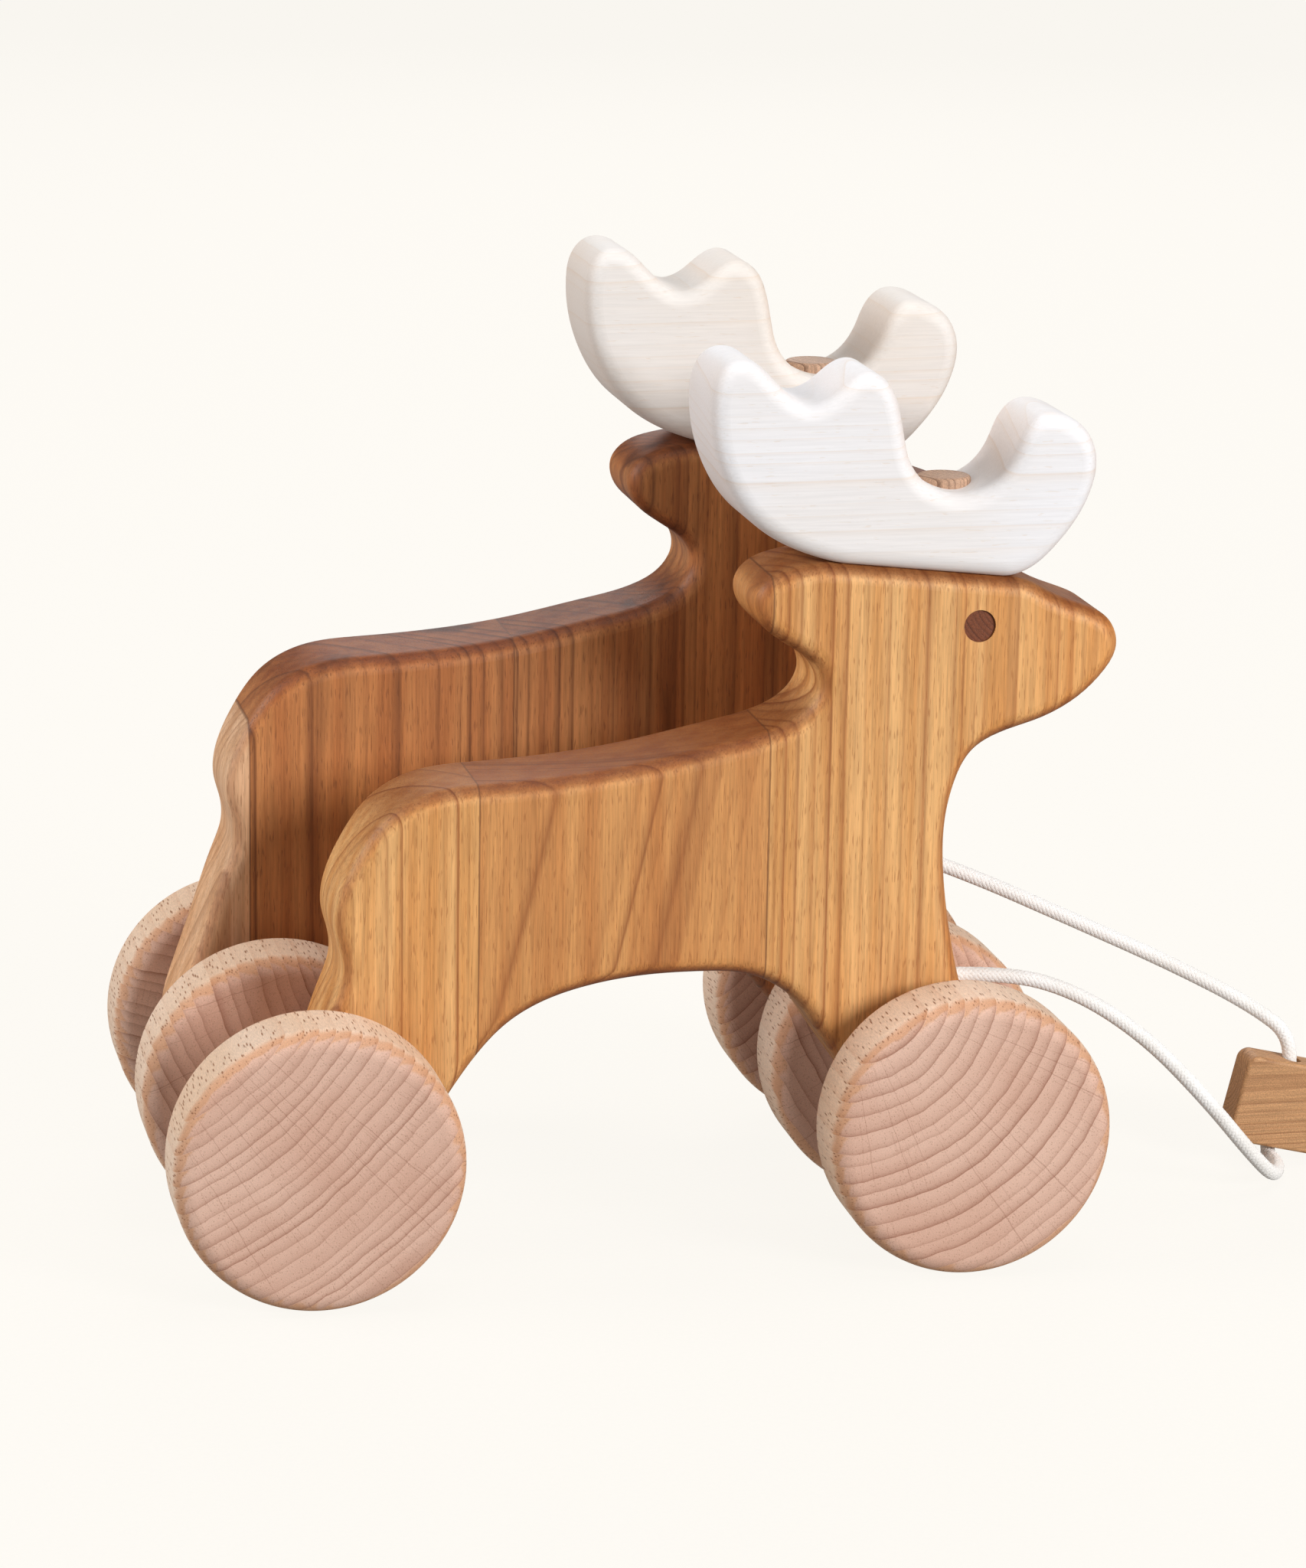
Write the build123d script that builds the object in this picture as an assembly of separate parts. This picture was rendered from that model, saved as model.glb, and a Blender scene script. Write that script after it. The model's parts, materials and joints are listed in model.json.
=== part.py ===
from build123d import *
import math
import os

# Wooden pull-along toy: two flat moose side by side, each riding on crank pins
# between three disc wheels at either end, with a cord and a small wooden grip.
# Frame: X forward (the way the moose face), Y to the left, Z up, millimetres.
# Origin: on the floor, midway between the axles, in the middle wheels' mid-plane.

os.makedirs("parts", exist_ok=True)

# ---- driving dimensions -------------------------------------------------------
WHEELBASE = 136.5      # rear axle to front axle
WHEEL_R = 30.0         # all six wheels, which stand on the floor
WHEEL_T = 19.5
WHEEL_EDGE = 4.0       # rounding of the wheel rims
PITCH = 53.0           # middle wheel to outer wheel, centre to centre along Y
CRANK = 10.9           # pin centre to wheel centre
CRANK_DEG = 45.0       # stance: near pins this far below forward, far pins opposite
PIN_R = 5.0            # crank pin, a 10 mm dowel
PIN_CLEAR = 0.07       # running clearance round the pins in the legs
PIN_DEPTH = 12.0       # how deep a pin is glued into each wheel

MOOSE_T = 25.0         # board thickness of a moose and of its antlers
MOOSE_EDGE = 3.7       # rounded-over edges
FOOT_R = 12.9          # rounded foot round each pin
NEAR_GLUE = (-40.1, 20.7)   # glued joints between the three boards, near moose
FAR_GLUE = (-64.6, -7.6)    # the same for the far moose
DOWEL_R = 5.7          # dowel that holds the antlers
DOWEL_X = 59.3
DOWEL_Z = (115.9, 141.2)
EYE_R = 3.4
EYE_XZ = (64.6, 111.5)
EYE_RECESS = 0.5

CORD_D = 3.3
CHEST_Z = 33.0         # height of the cord's hole above the pin line
CHEST_HOLE_R = 2.1
CHEST_HOLE_END = 55.6  # X of the blind end of the chest hole, in the moose's own frame

GRIP_L, GRIP_H, GRIP_T = 32.0, 20.0, 8.5
GRIP_TILT = 13.0       # the grip lies propped on its front lower corner
GRIP_X = 162.0
GRIP_HOLE_U = -4.6     # cord hole, measured from the grip's middle
GRIP_HOLE_R = 2.2

# ---- where things sit ---------------------------------------------------------
ca = CRANK * math.cos(math.radians(CRANK_DEG))
sa = CRANK * math.sin(math.radians(CRANK_DEG))
NEAR_AT = (ca, -PITCH / 2, WHEEL_R - sa)      # middle of the near moose's pin line
FAR_AT = (-ca, PITCH / 2, WHEEL_R + sa)
AXLES = {"rear": -WHEELBASE / 2, "front": WHEELBASE / 2}


def y_cylinder(r, y0, y1, x, z):
    """A cylinder along Y from y0 to y1 at (x, z)."""
    c = Cylinder(r, y1 - y0, rotation=(90, 0, 0))
    return Pos(x, (y0 + y1) / 2, z) * c


# ---- moose blank, in its own frame: X = 0 midway between the pins, Z = 0 at them
HB = WHEELBASE / 2
HEAD_TOP = ((33.0, 125.2), (73.0, 121.0))     # flat seat the antlers are glued to

head_to_ear = [
    HEAD_TOP[0],
    (26.5, 124.6), (20.6, 122.6), (17.3, 118.6), (18.0, 113.8), (21.8, 109.8),   # ear
    (26.8, 106.5), (30.2, 103.4), (31.2, 99.4), (29.2, 95.0),                    # nape
    (23.6, 91.2), (12.0, 88.0), (-5.0, 84.4), (-22.0, 82.1), (-38.0, 81.0),      # back
    (-50.5, 79.4), (-59.5, 74.4), (-65.6, 66.0), (-69.2, 57.4),                  # rump
    (-69.6, 51.2), (-68.3, 46.2), (-68.0, 41.8), (-70.0, 35.4),                  # tail
    (-74.4, 22.5), (-79.0, 9.0),                                                 # rear leg
]
rear_foot = [(-HB + FOOT_R * math.cos(math.radians(a)), FOOT_R * math.sin(math.radians(a)))
             for a in (190, 230, 270, 310)]
belly = [
    (-53.6, 1.0), (-46.6, 13.4), (-39.5, 23.5), (-33.5, 29.6), (-26.4, 33.8),
    (-17.0, 36.8), (-5.0, 38.6), (8.0, 38.9), (17.5, 37.9), (23.6, 35.2),
    (28.0, 31.5), (32.5, 25.2), (38.5, 16.4), (46.5, 5.6), (54.2, -3.8),
]
front_foot = [(HB + FOOT_R * math.cos(math.radians(a)), FOOT_R * math.sin(math.radians(a)))
              for a in (235, 275, 315, 355)]
chest_to_nose = [
    (78.0, 8.8), (70.8, 19.0), (65.4, 29.2), (61.6, 43.0), (59.4, 58.0), (59.3, 69.5),
    (61.0, 77.6), (64.6, 84.4), (70.6, 88.0), (78.6, 90.6), (86.4, 94.6), (92.2, 100.0),
    (95.2, 106.2), (93.4, 111.4), (87.4, 114.9), (80.0, 117.9),
    HEAD_TOP[1],
]


def blank():
    """The whole moose outline, cut from one glued-up board, edges rounded over."""
    top = Line(HEAD_TOP[1], HEAD_TOP[0])
    along = top % 0
    rim = Spline(*(head_to_ear + rear_foot + belly + front_foot + chest_to_nose),
                 tangents=[along, along], tangent_scalars=(1, 1))
    face = make_face([top, rim])
    solid = extrude(Plane.XZ * face, amount=MOOSE_T / 2, both=True)
    rims = solid.edges().filter_by(lambda e: abs(abs(e.center().Y) - MOOSE_T / 2) < 1e-4)
    return fillet(rims, MOOSE_EDGE)


def antler_blank():
    """Palmate antlers: a tall rear lobe, a middle lobe, a deep valley, a front lobe."""
    seat = Line(*HEAD_TOP)
    a, b = seat @ 0.1, seat @ 0.9125
    base = Line(a, b)
    along = base % 0
    lobes = [
        b, (75.4, 122.7), (81.0, 127.4), (85.6, 133.4), (88.5, 139.8), (89.2, 146.0),
        (87.0, 151.4), (82.2, 154.8), (77.2, 155.2), (73.4, 151.8), (71.2, 146.8),
        (68.2, 142.4), (63.8, 139.7), (58.0, 139.2), (52.8, 141.4), (49.5, 145.6),
        (48.0, 151.0), (46.6, 157.6), (44.2, 162.4), (40.2, 164.5), (36.2, 163.0),
        (32.2, 159.8), (27.8, 158.3), (23.6, 160.2), (19.6, 164.0), (15.4, 167.2),
        (11.0, 167.0), (7.9, 163.6), (6.9, 158.0), (7.5, 150.8), (9.8, 143.4),
        (14.6, 135.6), (22.0, 129.8), (30.0, 126.4), a,
    ]
    rim = Spline(*lobes, tangents=[along, along], tangent_scalars=(1, 1))
    face = make_face([base, rim])
    solid = extrude(Plane.XZ * face, amount=MOOSE_T / 2, both=True)
    rims = solid.edges().filter_by(lambda e: abs(abs(e.center().Y) - MOOSE_T / 2) < 1e-4)
    return fillet(rims, MOOSE_EDGE)


def slab(x0, x1, z0=-20.0, z1=180.0):
    """A block that keeps one board of the blank."""
    return Pos((x0 + x1) / 2, 0, (z0 + z1) / 2) * Box(x1 - x0, MOOSE_T + 10, z1 - z0)


def moose(name, at, glue):
    """Every piece of one moose, placed in the toy's frame."""
    dowel = Pos(DOWEL_X, 0, sum(DOWEL_Z) / 2) * Cylinder(DOWEL_R, DOWEL_Z[1] - DOWEL_Z[0])
    proud = dowel.edges().filter_by(GeomType.CIRCLE).sort_by(Axis.Z)[-1]
    dowel = fillet(proud, 0.9)
    eye = y_cylinder(EYE_R, -MOOSE_T / 2 + EYE_RECESS, MOOSE_T / 2 - EYE_RECESS, *EYE_XZ)
    chest_hole = Pos(CHEST_HOLE_END + 20, 0, CHEST_Z) * Cylinder(CHEST_HOLE_R, 40,
                                                                rotation=(0, 90, 0))
    dowel_hole = Pos(DOWEL_X, 0, (DOWEL_Z[0] + 160) / 2) * Cylinder(DOWEL_R, 160 - DOWEL_Z[0])
    wood = blank()
    for x in (-HB, HB):
        wood = wood - y_cylinder(PIN_R + PIN_CLEAR, -30, 30, x, 0)
    wood = wood - chest_hole - dowel_hole - y_cylinder(EYE_R, -30, 30, *EYE_XZ)
    antlers = antler_blank() - dowel_hole
    rear, front = glue
    out = {
        name + "_rear_board": wood & slab(-100, rear),
        name + "_antlers": antlers,
        name + "_antler_dowel": dowel,
        name + "_eye_dowel": eye,
    }
    if front > 17:      # this glue line also crosses the ear, so its tip is a fourth piece
        out[name + "_middle_board"] = wood & slab(rear, front, -20, 100)
        out[name + "_ear_tip"] = wood & slab(rear, front, 100, 180)
    else:
        out[name + "_middle_board"] = wood & slab(rear, front)
    out[name + "_front_board"] = wood & slab(front, 120)
    return {k: Pos(*at) * v for k, v in out.items()}


# ---- wheels and crank pins ------------------------------------------------------
def wheelset(end, x):
    """Three wheels on one centre line, joined by two opposite crank pins."""
    near_pin = (x + ca, WHEEL_R - sa)
    far_pin = (x - ca, WHEEL_R + sa)
    face = WHEEL_T / 2
    near = (-PITCH + face - PIN_DEPTH, -face + PIN_DEPTH)
    far = (face - PIN_DEPTH, PITCH - face + PIN_DEPTH)
    out = {}
    for side, y in (("near", -PITCH), ("middle", 0), ("far", PITCH)):
        disc = y_cylinder(WHEEL_R, y - face, y + face, x, WHEEL_R)
        disc = fillet(disc.edges().filter_by(GeomType.CIRCLE), WHEEL_EDGE)
        if side != "far":
            disc = disc - y_cylinder(PIN_R, near[0], near[1], *near_pin)
        if side != "near":
            disc = disc - y_cylinder(PIN_R, far[0], far[1], *far_pin)
        out[end + "_" + side + "_wheel"] = disc
    out[end + "_near_crank_pin"] = y_cylinder(PIN_R, near[0], near[1], *near_pin)
    out[end + "_far_crank_pin"] = y_cylinder(PIN_R, far[0], far[1], *far_pin)
    return out


# ---- grip ------------------------------------------------------------------------
grip = Box(GRIP_L, GRIP_T, GRIP_H)
grip = fillet(grip.edges().filter_by(Axis.Y), 2.6)
rims = grip.edges().filter_by(lambda e: abs(abs(e.center().Y) - GRIP_T / 2) < 1e-4)
grip = fillet(rims, 0.9)
grip = grip - Pos(GRIP_HOLE_U, 0, 0) * Cylinder(GRIP_HOLE_R, GRIP_H + 4)
grip = Rot(0, GRIP_TILT, 0) * grip
GRIP_Z = -grip.bounding_box().min.Z
grip = Pos(GRIP_X, 0, GRIP_Z) * grip


def on_grip(u, v, y=0.0):
    """A point in the toy's frame from the grip's own length u and height v."""
    t = math.radians(GRIP_TILT)
    return (GRIP_X + u * math.cos(t) + v * math.sin(t), y,
            GRIP_Z - u * math.sin(t) + v * math.cos(t))


# ---- cord ------------------------------------------------------------------------
# One length: near chest, down to the floor, under and up through the grip, far chest.
near_hole = (NEAR_AT[0] + CHEST_HOLE_END, NEAR_AT[1], NEAR_AT[2] + CHEST_Z)
far_hole = (FAR_AT[0] + CHEST_HOLE_END, FAR_AT[1], FAR_AT[2] + CHEST_Z)
route = [
    near_hole,
    (near_hole[0] + 19.5, near_hole[1], near_hole[2]),
    (99.5, -26.4, 50.5), (116.5, -26.0, 39.0), (131.5, -25.0, 23.5),
    (143.0, -23.0, 9.9), (150.5, -18.0, 2.3), (155.0, -8.0, 2.0),
    on_grip(GRIP_HOLE_U - 0.1, -12.45, 0.5),
    on_grip(GRIP_HOLE_U + 0.15, -3.0, 0.1),
    on_grip(GRIP_HOLE_U - 0.1, 14.5, 0.1),
    (151.5, 6.0, 35.0), (134.0, 13.5, 43.5), (113.0, 20.0, 52.6), (91.0, 25.0, 62.3),
    (far_hole[0] + 21.0, far_hole[1], far_hole[2]),
    far_hole,
]
pts = [Vector(*p) for p in route]
runs = [(b - a).length for a, b in zip(pts, pts[1:])]
radii = []
for i in range(1, len(pts) - 1):
    turn = (pts[i] - pts[i - 1]).get_angle(pts[i + 1] - pts[i])
    radii.append(0.45 * min(runs[i - 1], runs[i]) / math.tan(math.radians(turn) / 2))
path = FilletPolyline(*pts, radius=radii)
cord = sweep(Plane(origin=path @ 0, z_dir=path % 0) * Circle(CORD_D / 2), path=path)
print("cord runs", [round(r, 1) for r in runs])
print("cord radii", [round(r, 1) for r in radii])
print("cord lowest", round(cord.bounding_box().min.Z, 3), "in the grip",
      round((cord & grip).volume, 4) if (cord & grip) else 0)
print("cord length", round(path.length, 1), "volume ratio",
      round(cord.volume / (math.pi * CORD_D ** 2 / 4 * path.length), 4))

# ---- write -------------------------------------------------------------------------
nodes = {}
nodes.update(moose("near_moose", NEAR_AT, NEAR_GLUE))
nodes.update(moose("far_moose", FAR_AT, FAR_GLUE))
for end, x in AXLES.items():
    nodes.update(wheelset(end, x))
nodes["pull_grip"] = grip
nodes["pull_cord"] = cord
for name, shape in nodes.items():
    export_step(shape, "parts/" + name + ".step")
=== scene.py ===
import json
import math

import bpy
from mathutils import Euler, Matrix, Vector

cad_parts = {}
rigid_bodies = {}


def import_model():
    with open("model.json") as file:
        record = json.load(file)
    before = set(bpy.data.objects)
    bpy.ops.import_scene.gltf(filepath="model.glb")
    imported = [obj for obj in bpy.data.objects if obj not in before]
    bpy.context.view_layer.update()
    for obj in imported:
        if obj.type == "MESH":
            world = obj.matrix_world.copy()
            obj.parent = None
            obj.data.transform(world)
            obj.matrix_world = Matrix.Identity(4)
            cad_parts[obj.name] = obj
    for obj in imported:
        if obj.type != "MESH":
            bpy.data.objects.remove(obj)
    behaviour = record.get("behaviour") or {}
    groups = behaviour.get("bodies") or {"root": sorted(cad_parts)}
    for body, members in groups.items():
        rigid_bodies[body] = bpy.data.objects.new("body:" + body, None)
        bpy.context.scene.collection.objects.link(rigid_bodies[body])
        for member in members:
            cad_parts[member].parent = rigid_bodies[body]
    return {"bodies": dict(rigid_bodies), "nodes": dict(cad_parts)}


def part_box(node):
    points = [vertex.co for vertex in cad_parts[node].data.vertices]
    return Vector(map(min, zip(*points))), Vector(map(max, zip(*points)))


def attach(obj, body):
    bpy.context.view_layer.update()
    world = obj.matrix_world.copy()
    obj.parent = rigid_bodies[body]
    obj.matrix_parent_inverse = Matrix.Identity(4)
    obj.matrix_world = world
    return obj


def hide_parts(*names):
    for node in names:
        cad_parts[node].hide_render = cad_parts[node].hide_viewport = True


# A wooden pull-along toy on a pale floor. Everything is in metres in the CAD frame:
# X the way the moose face, Y to their left, Z up, the floor at Z = 0.

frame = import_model()
nodes, bodies = frame["nodes"], frame["bodies"]
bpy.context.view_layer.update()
MM = 0.001


def linear(*srgb):
    """A colour given as sRGB 0-255, as a linear RGBA tuple."""
    def one(v):
        v = v / 255
        return v / 12.92 if v <= 0.04045 else ((v + 0.055) / 1.055) ** 2.4
    return tuple(one(v) for v in srgb) + (1.0,)


# ---- camera, light and floor ------------------------------------------------------
CAMERA_PLACE = (-0.2115, -0.9969, 0.3539)
CAMERA_TURN = (75.6458, -1.0227, -12.3973)    # degrees about X, Y and Z
LENS, SENSOR = 113.36, 36.0    # mm
LAMP_WHITE = (1.0, 0.99, 0.985)
PAPER = linear(251, 248, 242)
FLOOR_HALF = 8.0
FLOOR_DROP = 0.1 * MM    # keeps the floor clear of the wheels


def camera():
    data = bpy.data.cameras.new("camera")
    data.sensor_fit = "VERTICAL"
    data.sensor_height = SENSOR
    data.lens = LENS
    data.clip_start, data.clip_end = 0.05, 50
    cam = bpy.data.objects.new("camera", data)
    bpy.context.collection.objects.link(cam)
    turn = Euler([math.radians(angle) for angle in CAMERA_TURN])
    cam.matrix_world = Matrix.LocRotScale(Vector(CAMERA_PLACE), turn, None)
    bpy.context.scene.camera = cam


def area_light(name, place, aim, size, watts):
    data = bpy.data.lights.new(name, "AREA")
    data.shape = "DISK"
    data.size = size
    data.energy = watts
    data.color = LAMP_WHITE
    lamp = bpy.data.objects.new(name, data)
    lamp.location = place
    lamp.rotation_euler = (Vector(aim) - Vector(place)).to_track_quat("-Z", "Y").to_euler()
    bpy.context.collection.objects.link(lamp)


def studio():
    bpy.context.scene.view_settings.view_transform = "Standard"
    world = bpy.data.worlds.new("studio")
    bpy.context.scene.world = world
    world.use_nodes = True
    sky = world.node_tree.nodes["Background"]
    sky.inputs["Color"].default_value = PAPER
    sky.inputs["Strength"].default_value = 0.14
    area_light("front_key", (1.25, -1.8, 0.85), (0, 0, 0.09), 0.9, 44.5)
    area_light("left_rim", (-1.8, 0.2, 1.15), (-0.02, 0, 0.08), 1.0, 27)
    area_light("left_fill", (-1.7, -1.3, 0.6), (-0.02, 0, 0.05), 0.9, 3.5)
    area_light("top_fill", (0.1, -0.1, 1.3), (0, 0, 0.1), 0.8, 4.0)
    area_light("back_fill", (0.5, 1.9, 1.0), (0, 0, 0.08), 1.2, 9)


def floor():
    """A floor that the camera sees as bright paper, but that throws little light on the toy."""
    mesh = bpy.data.meshes.new("floor")
    corners = [(x * FLOOR_HALF, y * FLOOR_HALF, -FLOOR_DROP)
               for x, y in ((-1, -1), (1, -1), (1, 1), (-1, 1))]
    mesh.from_pydata(corners, [], [(0, 1, 2, 3)])
    ground = bpy.data.objects.new("floor", mesh)
    bpy.context.collection.objects.link(ground)
    g = Graph("floor_paper")
    grain = g.span(g.noise(g.object_coords(), 900, 2), 0.3, 0.7)
    g.colour(g.mix(grain, linear(62, 60, 58), linear(66, 64, 62)))
    g.set("Roughness", 0.9)
    g.set("Specular IOR Level", 0.1)
    seen = g.node("ShaderNodeLightPath").outputs["Is Camera Ray"]
    g.set("Emission Color", PAPER)
    g.set("Emission Strength", g.span(seen, 0, 1, 0.3, 0.965))
    mesh.materials.append(g.material)


# ---- shader building ----------------------------------------------------------------
class Graph:
    """A Principled material with short calls that add nodes and return their outputs."""

    def __init__(self, name):
        self.material = bpy.data.materials.new(name)
        self.material.use_nodes = True
        self.tree = self.material.node_tree
        self.shader = self.tree.nodes["Principled BSDF"]

    def put(self, socket, value):
        if isinstance(value, bpy.types.NodeSocket):
            self.tree.links.new(value, socket)
        elif value is not None:
            socket.default_value = value

    def set(self, name, value):
        self.put(self.shader.inputs[name], value)

    def colour(self, value):
        self.set("Base Color", value)

    def node(self, kind, **settings):
        made = self.tree.nodes.new(kind)
        for name, value in settings.items():
            setattr(made, name, value)
        return made

    def math(self, operation, a, b=None):
        made = self.node("ShaderNodeMath", operation=operation)
        self.put(made.inputs[0], a)
        self.put(made.inputs[1], b)
        return made.outputs[0]

    def vector(self, operation, a, b=None, scale=None):
        made = self.node("ShaderNodeVectorMath", operation=operation)
        self.put(made.inputs[0], a)
        self.put(made.inputs[1], b)
        if scale is not None:
            self.put(made.inputs["Scale"], scale)
        return made.outputs["Value" if operation == "LENGTH" else "Vector"]

    def scaled(self, coords, x, y, z):
        """Coordinates counted in marks: so many to the metre along X, Y and Z."""
        return self.vector("MULTIPLY", coords, (x, y, z))

    def object_coords(self):
        return self.node("ShaderNodeTexCoord").outputs["Object"]

    def split(self, vector):
        made = self.node("ShaderNodeSeparateXYZ")
        self.put(made.inputs[0], vector)
        return made.outputs

    def noise_outputs(self, socket, value, scale, detail, roughness=0.5, **settings):
        made = self.node("ShaderNodeTexNoise", **settings)
        self.put(made.inputs[socket], value)
        made.inputs["Scale"].default_value = scale
        made.inputs["Detail"].default_value = detail
        made.inputs["Roughness"].default_value = roughness
        return made.outputs

    def noise(self, coords, scale, detail, roughness=0.5):
        return self.noise_outputs("Vector", coords, scale, detail, roughness)[0]

    def noise_line(self, value, scale, detail):
        """Noise that runs with one number instead of with a place."""
        return self.noise_outputs("W", value, scale, detail, noise_dimensions="1D")[0]

    def shaken(self, coords, pattern, scale, sway):
        """Coordinates moved about by up to half of sway, as the noise of the pattern goes."""
        drift = self.noise_outputs("Vector", pattern, scale, 2)["Color"]
        centred = self.vector("SUBTRACT", drift, (0.5, 0.5, 0.5))
        return self.vector("ADD", coords, self.vector("SCALE", centred, scale=sway))

    def dashes(self, coords, size, strength, dimensions="3D"):
        """Scattered marks, one in each cell of the coordinates, size cells from middle to end."""
        made = self.node("ShaderNodeTexVoronoi", voronoi_dimensions=dimensions)
        self.put(made.inputs["Vector"], coords)
        made.inputs["Scale"].default_value = 1.0
        return self.span(made.outputs["Distance"], 0.35 * size, size, strength, 0.0)

    def span(self, value, low, high, to_low=0.0, to_high=1.0, smooth=True):
        """A value between low and high, taken to the range from to_low to to_high."""
        made = self.node("ShaderNodeMapRange",
                         interpolation_type="SMOOTHSTEP" if smooth else "LINEAR")
        for name, v in (("Value", value), ("From Min", low), ("From Max", high),
                        ("To Min", to_low), ("To Max", to_high)):
            self.put(made.inputs[name], v)
        return made.outputs[0]

    def curve(self, value, points):
        """A piecewise linear function of a 0-1 value."""
        made = self.node("ShaderNodeValToRGB")
        self.put(made.inputs[0], value)
        steps = made.color_ramp.elements
        while len(steps) < len(points):
            steps.new(0.5)
        for step, (place, height) in zip(steps, points):
            step.position = place
            step.color = (height, height, height, 1)
        return made.outputs[0]

    def mix(self, share, a, b, blend="MIX"):
        made = self.node("ShaderNodeMix", data_type="RGBA", blend_type=blend)
        self.put(made.inputs[0], share)
        self.put(made.inputs[6], a)
        self.put(made.inputs[7], b)
        return made.outputs[2]

    def times(self, a, b):
        return self.mix(1.0, a, b, "MULTIPLY")

    def stained(self, ground, where, strength, colour):
        """The ground turned towards a colour: all of strength where the mask is 1."""
        return self.mix(self.math("MULTIPLY", where, strength), ground, colour)

    def bump(self, height, depth, strength):
        made = self.node("ShaderNodeBump")
        made.inputs["Strength"].default_value = strength
        made.inputs["Distance"].default_value = depth
        self.put(made.inputs["Height"], height)
        self.set("Normal", made.outputs[0])


def rings(g, coords, centre, axis, gap, sway, along=0.12, uneven=2.4):
    """Growth rings round an axis: how far through its ring a point is, the ring's number, and
    the point's place and distance from the axis. The rings wander by sway, more slowly along
    the axis when along is small, and their widths differ more when uneven is large."""
    turn = Vector(axis).to_track_quat("Z", "Y").inverted().to_matrix()
    place = g.node("ShaderNodeMapping")
    g.put(place.inputs["Vector"], coords)
    place.inputs["Rotation"].default_value = turn.to_euler("XYZ")
    place.inputs["Location"].default_value = -(turn @ Vector(centre))
    local = place.outputs[0]
    warped = g.shaken(local, g.scaled(local, 1, 1, along), 22, sway)
    radius = g.vector("LENGTH", g.scaled(warped, 1, 1, 0))
    steps = g.math("DIVIDE", radius, gap)
    steps = g.math("ADD", steps, g.math("MULTIPLY", g.noise_line(steps, 0.31, 2), uneven))
    return g.math("FRACT", steps), g.math("FLOOR", steps), local, radius


def ring_strength(g, number, low=0.1):
    """How dark a ring is, from low to 1, by chance, and more often faint than dark."""
    chance = g.node("ShaderNodeTexWhiteNoise", noise_dimensions="1D")
    g.put(chance.inputs["W"], number)
    return g.span(g.math("POWER", chance.outputs["Value"], 1.6), 0, 1, low, 1, smooth=False)


def facing(g, axis):
    """How squarely a surface faces one way or the other along X, Y or Z: 0 when it's edge on."""
    normal = g.node("ShaderNodeNewGeometry").outputs["Normal"]
    return g.math("ABSOLUTE", g.split(normal)[axis])


# ---- woods ----------------------------------------------------------------------------
# light, main and dark tones of the oiled boards
GOLD = (linear(238, 184, 120), linear(218, 154, 88), linear(158, 90, 40))
TAN = (linear(220, 158, 95), linear(202, 134, 74), linear(154, 90, 44))
PALE = (linear(240, 196, 156), linear(224, 174, 130), linear(156, 98, 58))
# the far moose's brown tone: its own browner wood, made darker still as painted shade for its place
# behind the near moose
BROWN_WITH_SHADE = (linear(206, 140, 84), linear(180, 112, 62), linear(106, 58, 30))
GLUE = linear(96, 56, 30)
SEAM = 0.3 * MM    # half width of a glue line
# rays on the wheels' end grain: mm apart, how many to a metre outwards, size, strength
RAYS = ((1.4, 4, 0.1, 0.7), (0.9, 28, 0.12, 0.45))
# how dark a ring is on its way outwards
BOARD_RING = ((0.0, 0.15), (0.2, 0.0), (0.5, 0.15), (0.75, 0.62), (0.86, 1.0), (1.0, 0.15))
BEECH_RING = ((0.0, 0.0), (0.3, 0.04), (0.68, 0.3), (0.9, 0.66), (0.965, 1.0), (1.0, 0.0))
MAPLE_RING = ((0.0, 0.0), (0.62, 0.05), (0.9, 0.5), (0.955, 1.0), (1.0, 0.0))
DOWEL_RING = ((0.0, 0.1), (0.5, 0.0), (0.85, 0.8), (0.95, 1.0), (1.0, 0.1))


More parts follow.
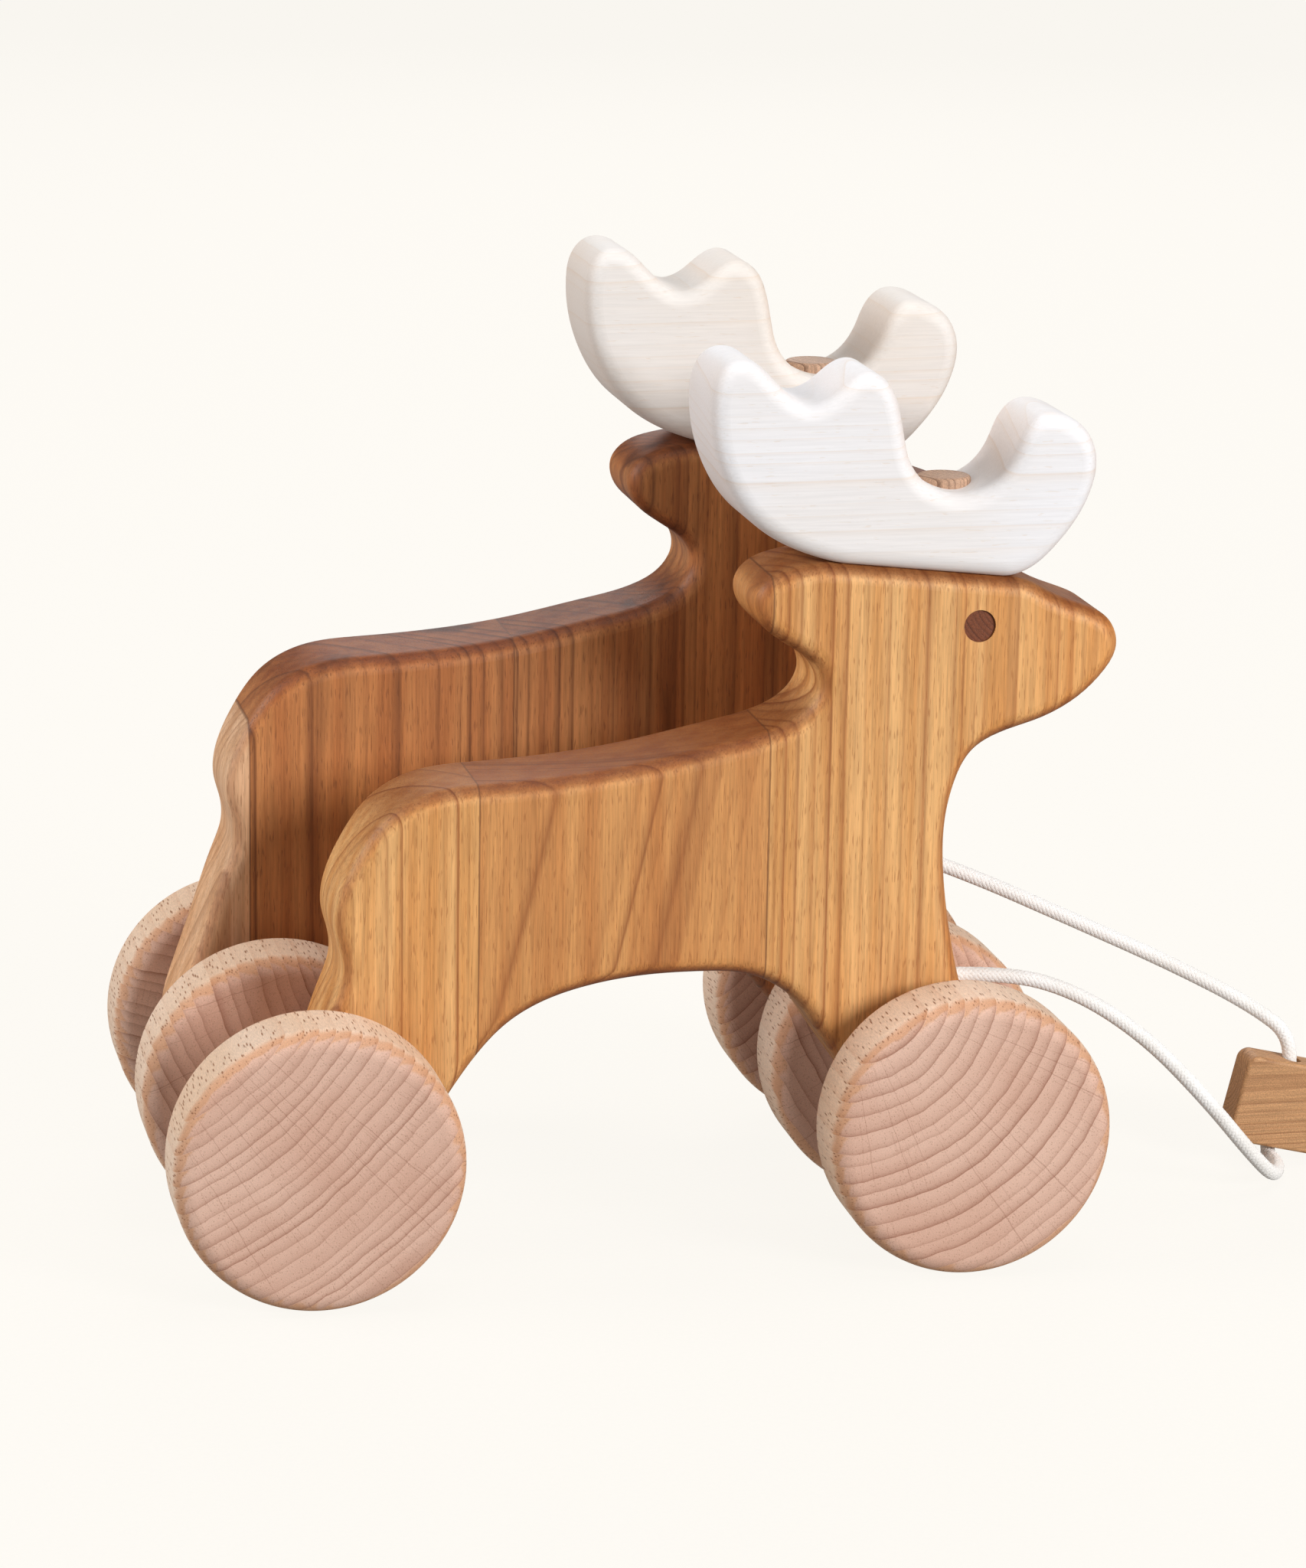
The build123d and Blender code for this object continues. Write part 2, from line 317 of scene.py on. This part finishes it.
def oiled_board(name, tone, ring_to, gap, reach, sway, contrast, streaks, glue, shift, place):
    """Oiled cherry-like board with upright fibres. ring_to points across the growth rings,
    reach is how far off the tree's middle lies, streaks how strong its broad dark bands are,
    contrast how dark its rings are. glue holds the X of the glue lines, and shift picks another
    piece of the same noise."""
    g = Graph(name)
    light, main, dark = tone
    coords = g.vector("ADD", g.object_coords(), shift)
    across = Vector(ring_to).normalized()
    axis = Vector((0, 0, 1)) - across.z * across
    part, number, _, _ = rings(g, coords, place + shift - across * reach, axis, gap, sway)
    late = g.math("MULTIPLY", g.curve(part, BOARD_RING), ring_strength(g, number))
    fibre = g.noise(g.scaled(coords, 2100, 2100, 70), 1.0, 4, 0.62)
    pores = g.span(g.noise(g.scaled(coords, 3000, 3000, 260), 1.0, 1), 0.58, 0.70)
    bands = g.noise(g.scaled(coords, 230, 230, 7), 1.0, 3)
    broad = g.noise(g.scaled(coords, 75, 75, 4), 1.0, 3, 0.6)
    clouds = g.noise(g.scaled(coords, 26, 26, 14), 1.0, 2)
    wood = g.mix(g.span(bands, 0.32, 0.68), light, main)
    warm = g.times(wood, (1.0, 0.82, 0.62, 1))
    wood = g.stained(wood, g.span(clouds, 0.45, 0.72), 0.5, warm)
    wood = g.stained(wood, g.span(broad, 0.5, 0.74), streaks, dark)
    wood = g.stained(wood, late, contrast, dark)
    wood = g.times(wood, g.span(fibre, 0.25, 0.75, 0.79, 1.15))
    wood = g.stained(wood, pores, 0.45, dark)
    end_grain = g.span(facing(g, "Z"), 0.25, 0.95)
    wood = g.stained(wood, end_grain, 0.85, g.times(wood, linear(164, 130, 108)))
    side = facing(g, "Y")
    rounded = g.math("MULTIPLY", g.span(side, 0.25, 0.6), g.span(side, 0.8, 0.985, 1.0, 0.0))
    wood = g.stained(wood, rounded, 0.45, g.times(wood, linear(200, 162, 134)))
    x = g.split(g.object_coords())["X"]
    for line in glue:
        off = g.math("ABSOLUTE", g.math("SUBTRACT", x, line))
        wood = g.mix(g.span(off, SEAM / 6, SEAM, 0.65, 0.0), wood, GLUE)
    g.colour(wood)
    g.set("Roughness", g.span(fibre, 0.2, 0.8, 0.46, 0.62))
    g.set("Specular IOR Level", 0.4)
    height = g.math("SUBTRACT", g.math("MULTIPLY", fibre, 0.5), pores)
    g.bump(g.math("SUBTRACT", height, g.math("MULTIPLY", late, 0.12)), 0.05 * MM, 0.6)
    return g.material


def rays(g, local, radius, reach):
    """Fine lines on end grain that point to the rings' middle, which is reach away."""
    parts = g.split(local)
    angle = g.math("ARCTAN2", parts["Y"], parts["X"])
    drawn = 0.0
    for width, run, size, strength in RAYS:
        spoke = g.node("ShaderNodeCombineXYZ")
        g.put(spoke.inputs["X"], g.math("MULTIPLY", angle, reach / (width * MM)))
        g.put(spoke.inputs["Y"], g.math("MULTIPLY", radius, run))
        drawn = g.math("MAXIMUM", g.dashes(spoke.outputs[0], size, strength, "2D"), drawn)
    return drawn


def beech_disc(name, pith, gap, uneven, place):
    """Pale beech with its fibres along the axle: curved rings and fine rays on the end grain,
    short flecks on the rim. pith is the rings' middle in the wheel's plane, from the wheel's centre."""
    g = Graph(name)
    coords = g.object_coords()
    centre = place + Vector((pith[0], 0, pith[1]))
    rippled = g.shaken(coords, g.scaled(coords, 1, 0.1, 1), 190, 1.0 * MM)
    part, number, local, radius = rings(g, rippled, centre, (0, 1, 0), gap, 5 * MM, 0.1, uneven)
    late = g.math("MULTIPLY", g.curve(part, BEECH_RING), ring_strength(g, number, 0.45))
    ray = rays(g, local, radius, math.hypot(*pith))
    cells = g.noise(g.scaled(coords, 5200, 700, 5200), 1.0, 2, 0.7)
    fleck = g.dashes(g.scaled(coords, 1500, 230, 1500), 0.34, 1.0)
    clouds = g.span(g.noise(g.scaled(coords, 45, 12, 45), 1.0, 2), 0.3, 0.7)
    side = facing(g, "Y")
    end = g.mix(clouds, linear(230, 192, 172), linear(220, 178, 157))
    rim = g.mix(clouds, linear(238, 211, 188), linear(230, 198, 170))
    # the line where the end grain meets the rim is ragged, and follows the rings
    blotch = g.math("MULTIPLY", g.math("SUBTRACT", g.noise(coords, 160, 3), 0.5), 0.5)
    ragged = g.math("ADD", blotch, g.math("MULTIPLY", part, 0.26))
    curved = g.span(side, 0.93, 0.999, 1.0, 0.0)
    turned = g.math("ADD", side, g.math("MULTIPLY", ragged, curved))
    wood = g.mix(g.span(turned, 0.82, 0.99), rim, end)
    corner = g.math("MULTIPLY", g.span(turned, 0.15, 0.7), g.span(turned, 0.86, 1.0, 1.0, 0.0))
    wood = g.stained(wood, corner, 0.7, linear(208, 146, 104))
    dark = g.mix(g.span(side, 0.5, 1.0), linear(190, 130, 88), linear(150, 94, 70))
    wood = g.stained(wood, late, g.span(side, 0.1, 0.7, 0.25, 0.9), dark)
    wood = g.stained(wood, ray, g.span(side, 0.4, 1.0, 0.0, 0.5), linear(146, 92, 70))
    wood = g.stained(wood, fleck, g.span(side, 0.4, 0.97, 0.9, 0.25), linear(146, 96, 64))
    g.colour(g.times(wood, g.span(cells, 0.25, 0.75, 0.86, 1.12)))
    g.set("Roughness", g.span(cells, 0.2, 0.8, 0.58, 0.72))
    g.set("Specular IOR Level", 0.3)
    g.bump(g.math("SUBTRACT", g.math("MULTIPLY", cells, 0.5), fleck), 0.05 * MM, 0.5)
    return g.material


def pale_maple(name, light, shift):
    """Bare maple with its fibres along X and faint veins, greyer on its end grain."""
    g = Graph(name)
    vein = linear(226, 200, 172)
    coords = g.vector("ADD", g.object_coords(), shift)
    centre = shift + Vector((0, 0.02, -0.09))
    part, number, _, _ = rings(g, coords, centre, (1, 0.05, 0.02), 3.1 * MM, 3 * MM, 0.14, 1.8)
    late = g.math("MULTIPLY", g.curve(part, MAPLE_RING), ring_strength(g, number, 0.05))
    fibre = g.noise(g.scaled(coords, 70, 2300, 2300), 1.0, 4, 0.6)
    fleck = g.span(g.noise(g.scaled(coords, 300, 2600, 2600), 1.0, 1), 0.68, 0.75)
    clouds = g.noise(g.scaled(coords, 18, 30, 30), 1.0, 2)
    wood = g.mix(g.span(clouds, 0.3, 0.7), light, g.times(light, (0.97, 0.94, 0.9, 1)))
    wood = g.stained(wood, late, 0.45, vein)
    wood = g.stained(wood, fleck, 0.22, vein)
    wood = g.times(wood, g.span(fibre, 0.25, 0.75, 0.955, 1.03))
    end_grain = g.span(facing(g, "X"), 0.35, 0.95)
    g.colour(g.stained(wood, end_grain, 0.45, g.times(wood, linear(232, 214, 200))))
    g.set("Roughness", g.span(fibre, 0.2, 0.8, 0.6, 0.74))
    g.set("Specular IOR Level", 0.3)
    g.bump(g.math("SUBTRACT", g.math("MULTIPLY", fibre, 0.5), fleck), 0.04 * MM, 0.45)
    return g.material


def dowel(name, light, dark, axis, centre):
    """Dowel-like wood with its fibres along the axis: striped sides, tight rings on the rough ends."""
    g = Graph(name)
    coords = g.object_coords()
    off = centre + Vector((9 * MM, 5 * MM, 7 * MM))
    part, number, _, _ = rings(g, coords, off, axis, 1.0 * MM, 1.2 * MM, 0.15, 1.2)
    late = g.math("MULTIPLY", g.curve(part, DOWEL_RING), ring_strength(g, number, 0.35))
    stretch = [70 if a else 2400 for a in axis]
    fibre = g.noise(g.scaled(coords, *stretch), 1.0, 3, 0.6)
    cells = g.noise(coords, 3800, 2, 0.7)
    wood = g.stained(light, late, 0.8, dark)
    wood = g.times(wood, g.span(fibre, 0.25, 0.75, 0.8, 1.12))
    g.colour(g.times(wood, g.span(cells, 0.3, 0.7, 0.76, 1.12)))
    g.set("Roughness", 0.55)
    g.set("Specular IOR Level", 0.35)
    height = g.math("SUBTRACT", g.math("MULTIPLY", cells, 0.6), g.math("MULTIPLY", late, 0.4))
    g.bump(height, 0.1 * MM, 0.8)
    return g.material


def cotton():
    """Bleached cotton yarn."""
    g = Graph("cotton_yarn")
    coords = g.object_coords()
    fuzz = g.noise(coords, 5200, 3, 0.65)
    soil = g.noise(coords, 70, 2)
    white = g.mix(g.span(soil, 0.35, 0.7), linear(254, 253, 252), linear(246, 243, 239))
    g.colour(g.times(white, g.span(fuzz, 0.25, 0.75, 0.95, 1.02)))
    g.set("Roughness", 0.95)
    g.set("Specular IOR Level", 0.15)
    g.set("Sheen Weight", 0.4)
    g.bump(fuzz, 0.01 * MM, 0.3)
    return g.material


def paint(node, material):
    """Gives a CAD node its material, leaving its shape alone."""
    obj = nodes[node]
    for slot in obj.material_slots:
        slot.material = material
    if not obj.material_slots:
        obj.data.materials.append(material)


# ---- cord -----------------------------------------------------------------------------
ROUTE = [   # mm; near chest, floor, up through the grip, far chest; the CAD tube's own points
    (63.31, -26.5, 55.29), (82.81, -26.5, 55.29), (99.5, -26.4, 50.5), (116.5, -26.0, 39.0),
    (131.5, -25.0, 23.5), (143.0, -23.0, 9.9), (150.5, -18.0, 2.3), (155.0, -8.0, 2.0),
    (154.62, 0.5, 1.75), (156.99, 0.1, 10.9), (160.68, 0.1, 28.01),
    (151.5, 6.0, 35.0), (134.0, 13.5, 43.5), (113.0, 20.0, 52.6), (91.0, 25.0, 62.3),
    (68.89, 26.5, 70.71), (47.89, 26.5, 70.71),
]
STEP = 0.22 * MM        # from one section of the cord to the next
CORE_R = 1.4 * MM       # solid middle of the cord, under the braid
CORE_SIDES = 12
YARNS = 8               # yarns each way round
YARN_SIDES = 6
YARN = (0.47 * MM, 0.17 * MM)    # half width and half thickness of a yarn
LAY = 8.5 * MM          # one turn of a yarn
BRAID_R = 1.43 * MM     # where the yarns run
RISE = 0.045 * MM       # how far in or out of there a yarn goes to pass another
# how much of the cord goes fully with each chest, and how far along it's free of the chest
GRASP = {"near_moose": (12 * MM, 115 * MM), "far_moose": (26 * MM, 120 * MM)}


def route_line():
    """Points along the cord's NURBS centreline, STEP apart."""
    data = bpy.data.curves.new("route", "CURVE")
    data.dimensions = "3D"
    data.resolution_u = 48
    spline = data.splines.new("NURBS")
    spline.points.add(len(ROUTE) - 1)
    for point, place in zip(spline.points, ROUTE):
        point.co = (*(v * MM for v in place), 1)
    spline.order_u = 3
    spline.use_endpoint_u = True
    curve = bpy.data.objects.new("route", data)
    bpy.context.collection.objects.link(curve)
    drawn = bpy.data.meshes.new_from_object(curve)
    line = [v.co.copy() for v in drawn.vertices]
    bpy.data.objects.remove(curve)
    bpy.data.meshes.remove(drawn)
    spaced, left = [line[0]], STEP
    for a, b in zip(line, line[1:]):
        run = (b - a).length
        while left <= run:
            spaced.append(a.lerp(b, left / run))
            left += STEP
        left -= run
    spaced.append(line[-1])
    return spaced


def run_on(line, i):
    """Which way a line runs at its point number i."""
    return (line[min(i + 1, len(line) - 1)] - line[max(i - 1, 0)]).normalized()


def cross_directions(line):
    """Two directions across a line at each of its points, which turn no more than they must."""
    sides, others = [], []
    side = Vector((0, 0, 1))
    for i in range(len(line)):
        tangent = run_on(line, i)
        side = (side - side.dot(tangent) * tangent).normalized()
        sides.append(side)
        others.append(tangent.cross(side))
    return sides, others


def tube(verts, faces, centres, wides, talls, width, height, sides):
    """Adds a tube with an oval section, wide along wides and tall along talls."""
    first = len(verts)
    for c, w, t in zip(centres, wides, talls):
        for k in range(sides):
            a = 2 * math.pi * k / sides
            verts.append(c + w * (width * math.cos(a)) + t * (height * math.sin(a)))
    for i in range(len(centres) - 1):
        for k in range(sides):
            a, b = first + i * sides + k, first + i * sides + (k + 1) % sides
            faces.append((a, b, b + sides, a + sides))
    last = first + (len(centres) - 1) * sides
    faces.append(tuple(range(first + sides - 1, first - 1, -1)))
    faces.append(tuple(range(last, last + sides)))


def yarn_run(line, cross, way, number):
    """One yarn's centreline round the cord, and the directions of its width and thickness."""
    centres, outward = [], []
    for i, (point, side, other) in enumerate(zip(line, *cross)):
        turned = 2 * math.pi * i * STEP / LAY
        angle = 2 * math.pi * number / YARNS + way * turned
        out = side * math.cos(angle) + other * math.sin(angle)
        over = way * math.cos(YARNS * turned + math.pi * number)
        centres.append(point + out * (BRAID_R + RISE * over))
        outward.append(out)
    wides = [run_on(centres, i).cross(out) for i, out in enumerate(outward)]
    return centres, wides, outward


def braid_mesh(line):
    """A core, and round it yarns that pass over and under each other both ways round."""
    cross = cross_directions(line)
    verts, faces = [], []
    tube(verts, faces, line, *cross, CORE_R, CORE_R, CORE_SIDES)
    for way in (1, -1):
        for number in range(YARNS):
            tube(verts, faces, *yarn_run(line, cross, way, number), *YARN, YARN_SIDES)
    mesh = bpy.data.meshes.new("pull_cord_braid")
    mesh.from_pydata(verts, [], faces)
    for face in mesh.polygons:
        face.use_smooth = True
    mesh.materials.append(cotton())
    return mesh


def follow(cord, line, length):
    """Each end of the cord goes with its moose's chest, and lets go of it along the way to the grip."""
    tubes = [(0, CORE_SIDES)]    # first vertex and sides of the core, then of each yarn
    for number in range(2 * YARNS):
        tubes.append((len(line) * (CORE_SIDES + YARN_SIDES * number), YARN_SIDES))
    for body, (held, free) in GRASP.items():
        group = cord.vertex_groups.new(name=body)
        for i in range(len(line)):
            along = min(i * STEP, length)
            way = along if body == "near_moose" else length - along
            t = min(max((free - way) / (free - held), 0), 1)
            share = t * t * (3 - 2 * t)
            if share > 0:
                for first, sides in tubes:
                    group.add(range(first + i * sides, first + (i + 1) * sides), share, "REPLACE")
        hook = cord.modifiers.new(body, "HOOK")
        hook.object = bodies[body]
        hook.vertex_group = body
        hook.falloff_type = "NONE"


def braided_cord():
    line = route_line()
    cord = bpy.data.objects.new("pull_cord_braid", braid_mesh(line))
    bpy.context.collection.objects.link(cord)
    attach(cord, "pull_line")
    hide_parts("pull_cord")
    length = sum((b - a).length for a, b in zip(line, line[1:]))
    follow(cord, line, length)


# ---- putting it together ----------------------------------------------------------------
def middle(node):
    low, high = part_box(node)
    return (low + high) / 2


def glue_lines(moose):
    """Where along X a moose's boards are glued together."""
    low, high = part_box(moose + "_middle_board")
    return low.x, high.x


def dress_boards():
    near, far = glue_lines("near_moose"), glue_lines("far_moose")
    # node: tone, across the rings, ring gap in mm, reach in m, sway in mm, contrast, streaks,
    # glue lines, shift in m
    boards = {
        "near_moose_rear_board": (GOLD, (0.78, 0.62, 0), 2.7, 0.16, 2.0, 1.0, 0.8, near, 0.11),
        "near_moose_middle_board": (TAN, (0.42, 0.9, -0.10), 2.5, 0.30, 3.0, 0.95, 0.25, near, 0.37),
        "near_moose_front_board": (GOLD, (0.93, 0.36, 0), 2.9, 0.25, 1.6, 0.9, 0.75, near, 0.62),
        "near_moose_ear_tip": (TAN, (0.93, 0.36, 0), 2.2, 0.25, 1.6, 0.6, 0.2, near, 0.91),
        "far_moose_rear_board": (PALE, (0.85, 0.5, 0), 2.2, 0.2, 1.6, 0.8, 0.3, far, 1.23),
        # the far moose's middle and front boards take the brown tone that holds painted shade
        "far_moose_middle_board": (BROWN_WITH_SHADE, (0.8, 0.6, 0), 3.1, 0.22, 1.8, 0.9, 0.95, far, 1.41),
        "far_moose_front_board": (BROWN_WITH_SHADE, (0.9, 0.44, 0), 2.7, 0.25, 1.8, 0.9, 0.95, far, 1.77),
    }
    for node, (tone, ring_to, gap, reach, sway, contrast, streaks, glue, shift) in boards.items():
        offset = Vector((shift, 0.7 * shift, 0.4 * shift))
        wood = oiled_board(node + "_wood", tone, ring_to, gap * MM, reach, sway * MM,
                           contrast, streaks, glue, offset, middle(node))
        paint(node, wood)


def dress_heads():
    # light tone of the antlers, and their shift in m
    antlers = {
        "near_moose": (linear(244, 244, 248), (0.3, 0.2, 0.1)),
        "far_moose": (linear(239, 235, 232), (0.9, 0.5, 0.7)),
    }
    for moose, (light, shift) in antlers.items():
        paint(moose + "_antlers", pale_maple(moose + "_maple", light, Vector(shift)))
        node = moose + "_antler_dowel"
        paint(node, dowel(moose + "_dowel", linear(204, 166, 138), linear(104, 66, 44),
                          (0, 0, 1), middle(node)))
        node = moose + "_eye_dowel"
        paint(node, dowel(moose + "_eye", linear(128, 70, 42), linear(70, 34, 20),
                          (0, 1, 0), middle(node)))


def dress_wheels():
    # wheel: the rings' middle from its centre along X and Z and the ring gap, all in mm, unevenness
    discs = {
        "front_near": ((-30, 38), 3.4, 1.2), "front_middle": ((44, 36), 3.0, 1.5),
        "front_far": ((-52, 30), 3.2, 1.4), "rear_near": ((-66, 78), 2.9, 1.8),
        "rear_middle": ((60, 45), 3.1, 1.2), "rear_far": ((-38, -55), 2.8, 1.5),
    }
    for name, (pith, gap, uneven) in discs.items():
        node = name + "_wheel"
        paint(node, beech_disc(node + "_beech", [v * MM for v in pith], gap * MM, uneven, middle(node)))
    for name in ("front_near", "front_far", "rear_near", "rear_far"):
        node = name + "_crank_pin"
        paint(node, dowel(node + "_wood", linear(226, 190, 150), linear(180, 132, 92),
                          (0, 1, 0), middle(node)))


def dress_grip():
    paint("pull_grip", dowel("grip_beech", linear(206, 156, 110), linear(164, 112, 72),
                             (1, 0, 0), middle("pull_grip")))


camera()
studio()
floor()
dress_boards()
dress_heads()
dress_wheels()
dress_grip()
braided_cord()
